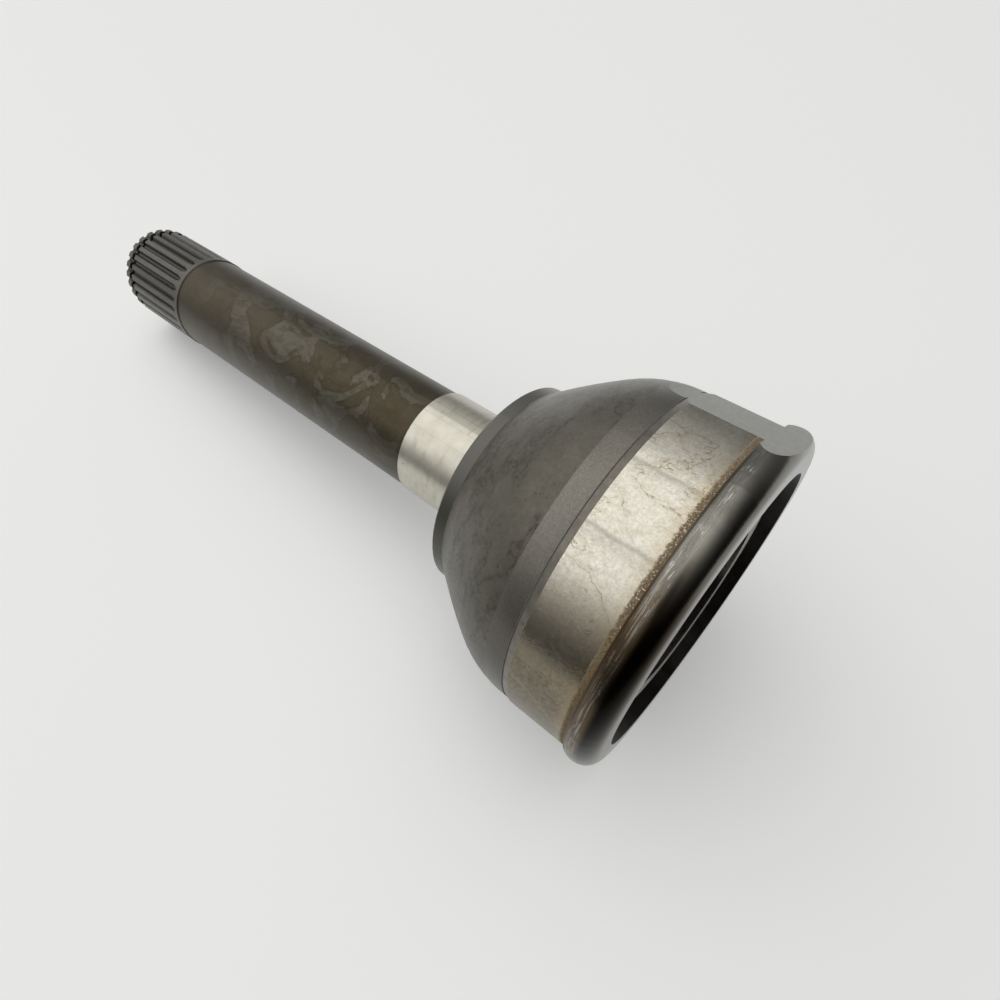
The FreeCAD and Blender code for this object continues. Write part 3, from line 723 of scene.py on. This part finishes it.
    def _collar_and_dome(self, coat: Coat) -> None:
        """Matte dome with dried tide marks, and a turned collar with painted shade on its lower
        flank.
        """
        zone = coat.stretch(self.collar_rear - 0.05, self.band_start, blur=0.02)
        broad = coat.mottle(size=26.0, warp=0.8, shift=3.0)
        fine = coat.mottle(size=1.1, contrast=1.1, warp=0.0)
        colour = coat.mix(broad, Tone.DOME_DARK, Tone.DOME_LIGHT)
        blotch = coat.times(coat.mottle(size=4.2, contrast=1.4, warp=0.4, shift=8.0), 0.45)
        colour = coat.mix(blotch, colour, Tone.DOME_BLOTCH)
        colour = coat.mix(coat.times(fine, 0.4), colour, Tone.DOME_GRAIN)
        upper = coat.above(coat.side(0.6, 0.8), low=0.55, high=1.0)
        coat.lay(zone, colour, coat.blend(fine, 0.4, 0.5), metal=0.4,
                 film=coat.blend(upper, 0.24, 0.62))
        grit = coat.times(coat.specks(size=1.2, share=0.3, spread=0.34),
                          coat.mottle(size=9.0, contrast=1.8, warp=0.8, shift=31.0))
        coat.lay((zone, grit, 0.8), Tone.DOME_GRIT)
        coat.lay(zone, height=coat.times(fine, 0.016))
        for size, level, shift in ((52.0, 0.50, 11.0), (40.0, 0.47, 57.0)):
            mark = coat.tide(size, width=0.0085, level=level, broken=0.46, warp=0.22, shift=shift,
                             squeeze=1.9)
            broken = coat.above(coat.mottle(size=2.2, contrast=1.6, warp=0.8, shift=19.0),
                                low=0.25, high=0.6)
            coat.lay((zone, mark, broken, 0.9), Tone.TIDE_LINE)
            near = coat.tide(size, width=0.06, level=level, broken=0.42, warp=0.22, shift=shift,
                             squeeze=1.9)
            smear = coat.above(coat.mottle(size=1.8, contrast=1.6, warp=0.9, shift=37.0), low=0.35,
                               high=0.8)
            coat.lay((zone, near, smear, 0.75), Tone.TIDE_SMEAR)
            coat.lay((zone, near, 0.3), Tone.TIDE_HALO)
        rim = coat.stretch(self.collar_rear + 0.6, self.collar_front - 0.1, blur=0.15)
        # Painted shade: the collar rim darkens towards the lower flank.
        shade = coat.above(coat.side(*LOWER_FLANK), low=0.2, high=0.85)
        worn = coat.mix(shade, Tone.COLLAR_WORN, Tone.COLLAR_SHADE)
        coat.lay(rim, worn, rough=0.38, metal=0.6)
        lip = coat.stretch(self.collar_rear - 0.02, self.collar_rear + 0.55)
        coat.lay(lip, Tone.COLLAR_LIP, rough=0.45)

    def _turned_zone(self, coat: Coat) -> None:
        """Fine tool marks with painted shade on the lower flank, and the sloping relief beside the
        band.
        """
        zone = coat.stretch(self.turned_start, self.relief_start, blur=0.03)
        rings = coat.rings(pitch=0.55, uneven=0.25)
        weave = coat.blend(0.45, rings, coat.mottle(size=0.7, contrast=1.4, warp=0.0, shift=2.0))
        colour = coat.mix(weave, Tone.TURNED_LOW, Tone.TURNED_CREST)
        colour = coat.mix(coat.times(coat.mottle(size=9.0, contrast=1.2, warp=0.5, shift=5.0),
                                     0.3), colour, Tone.TURNED_STAIN)
        # Painted shade: the turned zone darkens towards the lower flank.
        below = coat.above(coat.side(*LOWER_FLANK), low=0.62, high=0.92)
        colour = coat.mix(coat.times(below, 0.75), colour, Tone.TURNED_SHADE)
        coat.lay(zone, colour, rough=0.36, metal=0.9, film=0.2)
        coat.lay(zone, height=coat.times(rings, 0.035))
        bright = coat.times(coat.specks(size=2.6, share=0.05, spread=0.14), zone)
        coat.lay(bright, Tone.BRIGHT_SPECK, rough=0.3)
        relief = coat.stretch(self.relief_start, self.band_start, blur=0.03)
        worn = coat.mix(coat.mottle(size=3.0, contrast=1.2, shift=2.0), Tone.RELIEF_DARK,
                        Tone.RELIEF_LIGHT)
        coat.lay(relief, worn, rough=0.4, metal=0.8)
        coat.lay((relief, coat.specks(size=1.6, share=0.16, spread=0.3)), Tone.RELIEF_SPECK)
        groove = coat.stretch(self.relief_start - 0.18, self.relief_start + 0.25)
        coat.lay(groove, Tone.RELIEF_EDGE, rough=0.65, metal=0.0)

    def _band(self, coat: Coat) -> None:
        """Bright ground band with stains, painted reflections of lamp edges, painted shade on its
        duller lower side and a rusty shoulder.
        """
        zone = coat.stretch(self.band_start - 0.01, self.band_end, blur=0.01)
        zone = coat.times(zone, coat.above(coat.radius, self.band_inner, self.band_inner + 0.4))
        fine = coat.blend(0.5, coat.mottle(size=0.6, contrast=1.5, warp=0.0),
                          coat.mottle(size=1.5, contrast=1.2, shift=3.0))
        grain = coat.mix(fine, Tone.BAND_DARK, Tone.BAND_BRIGHT)
        patches = coat.mottle(size=17.0, warp=0.9, shift=17.0)
        colour = coat.mix(coat.times(patches, 0.25), grain, Tone.BAND_PATCH)
        coat.lay(zone, colour, coat.blend(coat.mottle(size=1.7, contrast=1.3, shift=4.0), 0.13,
                                          0.23), metal=1.0, film=0.0)
        coat.lay(zone, height=coat.times(coat.ground(pitch=0.6), 0.01))
        coat.raise_by((zone, coat.mottle(size=1.1, warp=0.4, shift=6.0)), amount=0.01)
        below = coat.above(coat.side(*LOWER_FLANK), low=0.6, high=0.88)
        tint = coat.above(coat.side(*LOWER_FLANK), low=0.42, high=0.62)
        coat.lay((zone, tint, 0.5), Tone.BAND_TINT)
        # Painted shade: the lower flank of the band is darkened, and made duller there.
        lower_shade = coat.mix(coat.mottle(size=1.3, contrast=1.3, warp=0.5, shift=12.0),
                        Tone.BAND_SHADE_DARK, Tone.BAND_SHADE_LIGHT)
        coat.lay((zone, below, 0.9), lower_shade, rough=0.34)
        # Painted reflections: two thin dark lines along the axle where lamp edges would be
        # mirrored in the band.
        for turn, width, depth in ((0.096, 0.022, 0.42), (0.436, 0.020, 0.50)):
            line = coat.times(coat.axial_line(turn, width), depth)
            coat.lay((zone, line), Tone.BAND_LAMP_REFLECTION, rough=0.26)
        for size, level, shift in ((30.0, 0.50, 23.0), (24.0, 0.47, 71.0)):
            mark = coat.tide(size, width=0.0042, level=level, broken=0.4, warp=0.35, shift=shift,
                             squeeze=0.6)
            coat.lay((zone, mark, 0.75), Tone.BAND_MARK, rough=0.4)
            near = coat.tide(size, width=0.05, level=level, broken=0.35, warp=0.35, shift=shift,
                             squeeze=0.6)
            coat.lay((zone, near, coat.mottle(size=1.1, contrast=1.5, warp=0.4, shift=8.0), 0.4),
                     Tone.BAND_HALO)
        stain = coat.stretch(self.band_end - 4.2, self.band_end + 1.5, blur=2.2)
        coat.lay((zone, stain, 0.38), Tone.BAND_STAIN)
        reach = coat.math("MULTIPLY_ADD", coat.mottle(size=1.5, warp=0.0, shift=15.0), 0.8,
                          coat.along)
        rust = coat.step(reach, self.band_end - 1.9, self.band_end - 0.9)
        rust = coat.times(rust, coat.above(coat.mottle(size=0.45, contrast=1.2, warp=0.0,
                                                       shift=5.0), low=0.02, high=0.42), zone)
        ochre = coat.mix(coat.mottle(size=0.6, contrast=1.5, warp=0.0, shift=9.0), Tone.RUST_DARK,
                         Tone.RUST_LIGHT)
        coat.lay((rust, 0.9), ochre, rough=0.8, metal=0.0)
        coat.raise_by(rust, amount=0.006)
        shoulder = coat.stretch(self.band_end - 0.15, self.band_end + 0.25, blur=0.08)
        coat.lay((shoulder, coat.above(coat.radius, *self.shoulder_span)), Tone.SHOULDER,
                 rough=0.6)

    def _bead(self, coat: Coat) -> None:
        """Glossy dark rim with an oil-brown tint low down, painted shade on the slope to the
        mouth, a painted highlight on the mouth edge and a worn crest with scratches painted bright
        as glints.
        """
        zone = coat.stretch(self.band_end + 0.02, self.mouth + 1, blur=0.02)
        steel = coat.mix(coat.mottle(size=16.0, warp=0.8, shift=41.0), Tone.BEAD_DARK,
                         Tone.BEAD_LIGHT)
        coat.lay(zone, steel, rough=0.22, metal=1.0, film=0.0)
        low = coat.above(coat.side(*BEAD_FLANK), low=0.62, high=0.93)
        brown = coat.mix(coat.mottle(size=9.0, contrast=1.4, warp=0.9, shift=21.0),
                         Tone.BEAD_AMBER, Tone.BEAD_BROWN)
        coat.lay((zone, low, 0.92), brown, rough=0.24)
        # Painted shade: the slope from the crest to the mouth is dimmed, and near black on the
        # side that faces the near side.
        shaded_slope = coat.stretch(self.bead_crest + 1.2, self.mouth - 0.35, blur=1.1)
        dark = coat.above(coat.side(-0.9, 0.43), low=0.66, high=0.94)
        coat.lay((shaded_slope, 0.2), Tone.BEAD_SLOPE_SHADE)
        coat.lay((shaded_slope, dark), Tone.BEAD_DEEP_SHADE, rough=0.25)
        # Painted highlight: a pale line along the mouth edge, strongest away from the brown-tinted
        # flank.
        edge = coat.stretch(self.mouth - 0.28, self.mouth + 1.0, blur=0.15)
        edge = coat.times(edge, coat.step(coat.side(*BEAD_FLANK), low=-0.1, high=0.8, start=0.8,
                                          stop=0.15))
        coat.lay(edge, Tone.MOUTH_HIGHLIGHT, rough=0.3)
        flecks = coat.above(coat.mottle(size=0.9, contrast=1.3, warp=0.0, shift=2.0), low=0.66,
                            high=0.9)
        behind = coat.stretch(self.band_end, self.bead_crest + 0.8, blur=1.0)
        coat.lay((behind, low, flecks, coat.mottle(size=6.0, contrast=2.0, warp=0.5, shift=6.0),
                  0.5), Tone.BEAD_FLECK, rough=0.5)
        # Scratches on the crest, painted near white as their highlight and strongest on the side
        # away from the brown flank.
        crest = coat.stretch(self.bead_crest - 2.6, self.bead_crest + 0.5, blur=0.9)
        cluster = coat.above(coat.mottle(size=13.0, contrast=1.6, warp=0.5, shift=13.0), low=0.52,
                             high=0.85)
        scratched = coat.above(coat.hairlines(fine=3.4, long=9.0, detail=5.0), low=0.54, high=0.6)
        upper = coat.above(coat.side(*BEAD_FLANK), low=0.9, high=0.55)
        coat.lay((crest, cluster, scratched, coat.blend(upper, 0.25, 0.9)), Tone.BEAD_SCRATCH_GLINT,
                 rough=0.24)
        rubbed = coat.above(coat.hairlines(fine=2.4, long=5.0, detail=4.0), low=0.48, high=0.64)
        coat.lay((crest, rubbed, 0.5), Tone.BEAD_RUBBED, rough=0.28)
        groove = coat.stretch(self.band_end + 0.05, self.band_end + 0.75, blur=0.3)
        coat.lay((groove, 0.8), Tone.BEAD_GROOVE, rough=0.4)
        coat.lay(zone, height=coat.times(coat.mottle(size=4.0), 0.012))
        coat.raise_by((crest, scratched), amount=-0.02)

    def _inside(self, coat: Coat) -> None:
        """Machined cavity, coloured near black."""
        limit = coat.math("MULTIPLY_ADD", coat.along, self.cavity_slope, self.cavity_base)
        limit = coat.math("MINIMUM", limit, self.inner_r)
        inside = coat.math("LESS_THAN", coat.radius, limit)
        reach = coat.stretch(self.cavity_start, self.mouth - 0.05, blur=0.01)
        colour = coat.mix(coat.mottle(size=8.0), Tone.CAVITY_DARK, Tone.CAVITY_LIGHT)
        coat.lay((inside, reach), colour, rough=0.48, metal=1.0, film=0.0)

    def _flats(self, coat: Coat) -> None:
        """Milled flats, evenly grey with faint cutter marks."""
        off = coat.vector("DOT_PRODUCT", coat.place, self.flat_normal)
        off = coat.math("ABSOLUTE", off)
        flat = coat.above(off, self.flat_distance - 0.03, self.flat_distance - 0.01)
        fine = coat.mottle(size=1.3, contrast=1.1, warp=0.2)
        colour = coat.mix(fine, Tone.FLAT_DARK, Tone.FLAT_LIGHT)
        broad = coat.times(coat.mottle(size=7.0, warp=0.6, shift=5.0), 0.3)
        colour = coat.mix(broad, colour, Tone.FLAT_PATCH)
        reach = coat.step(coat.along, *self.flat_fade)
        coat.lay((flat, reach), colour, rough=0.5, metal=0.6, film=0.0)
        coat.lay(flat, height=coat.times(fine, 0.012))
        coat.lay((flat, coat.tide(size=12.0, width=0.006, broken=0.6, warp=0.3, shift=3.0), 0.5),
                 Tone.FLAT_MARK)


@dataclass(frozen=True)
class GroundFinish:
    """Hardened and ground steel of the inner race or the cage."""

    name: str
    dark: Colour
    light: Colour
    rough: float
    pitch: float

    def material(self, shop: Workshop) -> bpy.types.Material:
        """Build the finish with turned marks, patches and stains."""
        coat = Coat(self.name, shop, self.dark, self.rough, metal=0.95)
        coat.lay(coat.mottle(size=7.0, warp=0.6), self.light)
        coat.lay(coat.tide(size=9.0, width=0.015, warp=0.8), paint(70, 60, 46), self.rough + 0.15)
        coat.raise_by(coat.rings(self.pitch, uneven=0.6), amount=0.008)
        return coat.finish()


@dataclass(frozen=True)
class PolishedFinish:
    """Lapped steel of the balls, under a thin film of grease."""

    name: str
    steel: Colour
    film: Colour

    def material(self, shop: Workshop) -> bpy.types.Material:
        """Build the polished finish."""
        coat = Coat(self.name, shop, self.steel, rough=0.07, metal=1.0)
        smear = coat.mottle(size=6.0, contrast=1.4, warp=1.2)
        coat.lay((smear, 0.6), self.film, rough=0.3)
        return coat.finish()


@dataclass(frozen=True)
class BenchFinish:
    """Pale laminate of the bench top."""

    colour: Colour
    rough: float = 0.5
    lift: float = 0.19

    def material(self) -> bpy.types.Material:
        """Build the bench top."""
        made = bpy.data.materials.new("pale_laminate")
        made.use_nodes = True
        shader = made.node_tree.nodes["Principled BSDF"]
        shader.inputs["Base Color"].default_value = self.colour
        shader.inputs["Roughness"].default_value = self.rough
        shader.inputs["Emission Color"].default_value = (1.0, 1.0, 1.0, 1.0)
        wiring = Wiring(made.node_tree)
        path = wiring.node("ShaderNodeLightPath")
        seen = wiring.math("MAXIMUM", path.outputs["Is Camera Ray"],
                           path.outputs["Is Glossy Ray"])
        seen = wiring.math("MAXIMUM", seen, path.outputs["Is Transmission Ray"])
        wiring.feed(shader.inputs["Emission Strength"],
                    wiring.math("MULTIPLY", seen, self.lift))
        return made


def dress(node: bpy.types.Object, material: bpy.types.Material) -> None:
    """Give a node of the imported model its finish.

    Args:
        node: The object to dress.
        material: The finish that goes into each of its material slots.
    """
    for slot in node.material_slots:
        slot.material = material
    LOG.info("dressed %s with %s", node.name, material.name)


@dataclass
class Assembly:
    """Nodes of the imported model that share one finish."""

    nodes: tuple[str, ...]
    finish: Union[ForgingFinish, GroundFinish, PolishedFinish]

    def build(self, frame: dict, shop: Workshop) -> None:
        """Dress every node of the assembly.

        Args:
            frame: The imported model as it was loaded.
            shop: The shared effects.
        """
        material = self.finish.material(shop)
        for name in self.nodes:
            dress(frame["nodes"][name], material)


@dataclass
class OuterRace(Assembly):
    """The forging: bell, collar, journal, shaft and outer spline."""

    nodes: tuple[str, ...] = ("outer_race_with_stub_axle",)
    finish: ForgingFinish = ForgingFinish()


@dataclass
class Star(Assembly):
    """The inner race with its splined bore."""

    nodes: tuple[str, ...] = ("inner_race",)
    finish: GroundFinish = GroundFinish("race_finish", dark=paint(150, 147, 140),
                                        light=paint(172, 169, 161), rough=0.3, pitch=0.6)


@dataclass
class Cage(Assembly):
    """The ball cage."""

    nodes: tuple[str, ...] = ("ball_cage",)
    finish: GroundFinish = GroundFinish("cage_finish", dark=paint(132, 128, 121),
                                        light=paint(150, 147, 140), rough=0.34, pitch=0.5)


@dataclass
class BallSet(Assembly):
    """The six balls."""

    nodes: tuple[str, ...] = tuple("ball_%d" % number for number in range(1, 7))
    finish: PolishedFinish = PolishedFinish("ball_finish", steel=paint(214, 214, 218),
                                            film=paint(120, 112, 98))


@dataclass
class Studio:
    """The bench, the soft light from above and the camera."""

    bench_size: Span = (3.0, 1.9)
    bench_centre: Span = (-0.2, 0.6)
    bench: BenchFinish = BenchFinish(paint(238, 239, 238))
    level: float = 0.0
    wall_lean: float = -0.55
    glow: tuple[Span, ...] = (
        (-0.5, 0.03), (-0.2, 0.035), (0.0, 0.08), (0.15, 0.13), (0.3, 0.20), (0.5, 0.40),
        (0.65, 0.62), (0.8, 0.98), (0.95, 1.30), (1.0, 1.33))
    seat_way: tuple[float, float, float] = (0.15, -0.5, 0.85)
    seat_shade: Fade = (0.914, 0.985, 1.0, 0.3)
    seam: float = 0.47
    seam_dip: Fade = (0.012, 0.05, 0.5, 1.0)
    far_aisle: Fade = (0.5, 0.95, 1.0, 0.58)
    near_aisle: Fade = (-1.2, -0.7, 1.1, 1.0)
    far_window: Fade = (0.5, 0.9, 0.0, 0.12)
    lowest: float = 0.05
    daylight: Colour = (1.0, 1.0, 0.985, 1.0)
    lens: float = 21.47
    shift: Span = (0.0206, 0.0545)
    aim: Vector = field(default_factory=lambda: Vector((-0.28503, 0.32689, -0.90105)))
    stand: Vector = field(default_factory=lambda: Vector((0.01451, -0.09475, 0.17982)))

    def build(self, axis: JointAxis) -> None:
        """Set up everything around the joint."""
        self._bench()
        self._sky()
        self._camera(axis)

    def _bench(self) -> None:
        """Add the bench top."""
        bpy.ops.object.select_all(action="DESELECT")
        bpy.ops.mesh.primitive_plane_add(size=1.0, location=(0.0, 0.0, 0.0))
        top = bpy.context.object
        top.name = "bench_top"
        size = Matrix.Diagonal((*self.bench_size, 1.0, 1.0))
        top.data.transform(Matrix.Translation((*self.bench_centre, self.level)) @ size)
        top.data.materials.append(self.bench.material())
        top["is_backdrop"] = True

    def _sky(self) -> None:
        """Light the joint from a broad bright ceiling that fades towards dark walls."""
        world = bpy.data.worlds.new("soft_ceiling")
        bpy.context.scene.world = world
        world.use_nodes = True
        wiring = Wiring(world.node_tree)
        wiring.tree.nodes.clear()
        way = wiring.node("ShaderNodeTexCoord").outputs["Generated"]
        split = wiring.node("ShaderNodeSeparateXYZ")
        wiring.feed(split.inputs[0], way)
        x, y, z = split.outputs
        level = self._ceiling(wiring, wiring.math("MULTIPLY_ADD", x, self.wall_lean, z))
        seat = wiring.vector("DOT_PRODUCT", way, Vector(self.seat_way).normalized())
        slope = wiring.math("DIVIDE", y, wiring.math("MAXIMUM", z, self.lowest))
        across = wiring.math("ABSOLUTE", slope)
        seam = wiring.math("ABSOLUTE", wiring.math("SUBTRACT", across, self.seam))
        aisle = wiring.math("MULTIPLY", wiring.step(slope, *self.far_aisle),
                            wiring.step(slope, *self.near_aisle))
        dips = wiring.math("MULTIPLY", wiring.step(seat, *self.seat_shade),
                           wiring.step(seam, *self.seam_dip))
        level = wiring.math("MULTIPLY", wiring.math("MULTIPLY", level, aisle), dips)
        level = wiring.math("ADD", level, wiring.step(y, *self.far_window))
        back = wiring.node("ShaderNodeBackground")
        wiring.feed(back.inputs["Color"], self.daylight)
        wiring.feed(back.inputs["Strength"], level)
        out = wiring.node("ShaderNodeOutputWorld")
        wiring.feed(out.inputs[0], back.outputs[0])

    def _ceiling(self, wiring: Wiring, tilt: Term) -> Term:
        """Return how bright the room is towards a direction.

        Args:
            wiring: The wiring of the world.
            tilt: Height of the direction, leaned with the wall.

        Returns:
            The brightness, read from the glow table.
        """
        low, span = self.glow[0][0], self.glow[-1][0] - self.glow[0][0]
        table = wiring.node("ShaderNodeValToRGB")
        ramp = table.color_ramp
        first, *between, last = [((place - low) / span, level) for place, level in self.glow]
        for stop, (place, level) in zip((ramp.elements[0], ramp.elements[1]), (first, last)):
            stop.position, stop.color = place, [level] * 3 + [1]
        for place, level in between:
            ramp.elements.new(place).color = [level] * 3 + [1]
        wiring.feed(table.inputs[0], wiring.math("MULTIPLY_ADD", tilt, 1 / span, -low / span))
        return table.outputs[0]

    def _camera(self, axis: JointAxis) -> None:
        """Stand the camera over the bench, looking down at the bell."""
        data = bpy.data.cameras.new("bench_camera")
        data.lens = self.lens
        data.sensor_width = SENSOR_WIDTH
        data.shift_x, data.shift_y = self.shift
        data.clip_start = 10 * MM
        camera = bpy.data.objects.new("bench_camera", data)
        bpy.context.scene.collection.objects.link(camera)
        forward = self.aim.normalized()
        right = forward.cross(Vector((0.0, 0.0, 1.0))).normalized()
        upward = right.cross(forward)
        turn = Matrix((right, upward, -forward)).transposed().to_4x4()
        camera.matrix_world = Matrix.Translation(axis.centre + self.stand) @ turn
        bpy.context.scene.camera = camera


def main() -> None:
    """Dress the joint and set the scene around it."""
    logging.basicConfig(level=logging.INFO)
    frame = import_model()
    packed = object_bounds()
    axis = JointAxis.from_record(frame["record"])
    shop = Workshop(axis)
    for assembly in (OuterRace(), Star(), Cage(), BallSet()):
        assembly.build(frame, shop)
    Studio(level=packed[0][2]).build(axis)
    bpy.context.scene.view_settings.view_transform = "Standard"


if __name__ == "__main__":
    main()
